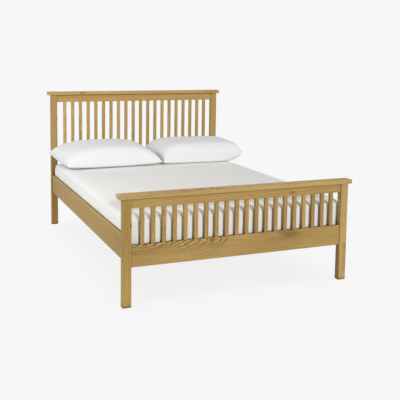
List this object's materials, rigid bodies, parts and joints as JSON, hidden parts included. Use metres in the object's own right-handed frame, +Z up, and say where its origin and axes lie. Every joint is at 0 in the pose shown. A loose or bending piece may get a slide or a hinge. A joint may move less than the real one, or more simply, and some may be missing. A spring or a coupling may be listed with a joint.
{
  "type": "panel bed",
  "caption": "Wooden double bed with slatted head and foot panels, capped top rails, deep side rails and a slatted base, dressed with a white-covered mattress and a pair of pillows.",
  "frame": {"origin": "on the floor, under the middle of the whole bed", "axes": "+X across the bed to the right seen from the foot, +Y along the bed from the foot to the head, +Z up"},
  "size_m": [1.492, 2.032, 1.075],
  "materials": {
    "oak_posts": "satin lacquered oak",
    "oak_caps": "satin lacquered oak",
    "oak_rails": "satin lacquered oak",
    "oak_side_rails": "satin lacquered oak",
    "oak_slats": "satin lacquered oak",
    "pine_base": "planed, untreated",
    "zinc_steel": "zinc plated",
    "mattress_cover": "matt woven cotton",
    "pillow_case": "matt woven cotton"
  },
  "bodies": {
    "frame": {"head_left_post": "oak_posts", "head_right_post": "oak_posts", "foot_left_post": "oak_posts", "foot_right_post": "oak_posts", "head_cap": "oak_caps", "foot_cap": "oak_caps", "head_top_rail": "oak_rails", "head_low_rail": "oak_rails", "foot_top_rail": "oak_rails", "foot_low_rail": "oak_rails", "left_side_rail": "oak_side_rails", "right_side_rail": "oak_side_rails", "head_slat_01": "oak_slats", "head_slat_02": "oak_slats", "head_slat_03": "oak_slats", "head_slat_04": "oak_slats", "head_slat_05": "oak_slats", "head_slat_06": "oak_slats", "head_slat_07": "oak_slats", "head_slat_08": "oak_slats", "head_slat_09": "oak_slats", "head_slat_10": "oak_slats", "head_slat_11": "oak_slats", "head_slat_12": "oak_slats", "head_slat_13": "oak_slats", "head_slat_14": "oak_slats", "head_slat_15": "oak_slats", "head_slat_16": "oak_slats", "head_slat_17": "oak_slats", "head_slat_18": "oak_slats", "head_slat_19": "oak_slats", "head_slat_20": "oak_slats", "foot_slat_01": "oak_slats", "foot_slat_02": "oak_slats", "foot_slat_03": "oak_slats", "foot_slat_04": "oak_slats", "foot_slat_05": "oak_slats", "foot_slat_06": "oak_slats", "foot_slat_07": "oak_slats", "foot_slat_08": "oak_slats", "foot_slat_09": "oak_slats", "foot_slat_10": "oak_slats", "foot_slat_11": "oak_slats", "foot_slat_12": "oak_slats", "foot_slat_13": "oak_slats", "foot_slat_14": "oak_slats", "foot_slat_15": "oak_slats", "foot_slat_16": "oak_slats", "foot_slat_17": "oak_slats", "foot_slat_18": "oak_slats", "foot_slat_19": "oak_slats", "foot_slat_20": "oak_slats", "slat_bearers": "pine_base", "centre_legs": "pine_base", "base_slats": "pine_base", "corner_brackets": "zinc_steel", "bracket_bolts": "zinc_steel"},
    "mattress": {"mattress": "mattress_cover"},
    "left_pillow": {"left_pillow": "pillow_case"},
    "right_pillow": {"right_pillow": "pillow_case"}
  },
  "joints": [
    {"name": "mattress_lift", "type": "slide", "parent": "frame", "child": "mattress", "axis": [0, 0, 1], "range_m": [0, 0.09]},
    {"name": "left_pillow_lift", "type": "slide", "parent": "mattress", "child": "left_pillow", "axis": [0, 0, 1], "range_m": [0, 0.4]},
    {"name": "right_pillow_lift", "type": "slide", "parent": "mattress", "child": "right_pillow", "axis": [0, 0, 1], "range_m": [0, 0.4]}
  ]
}
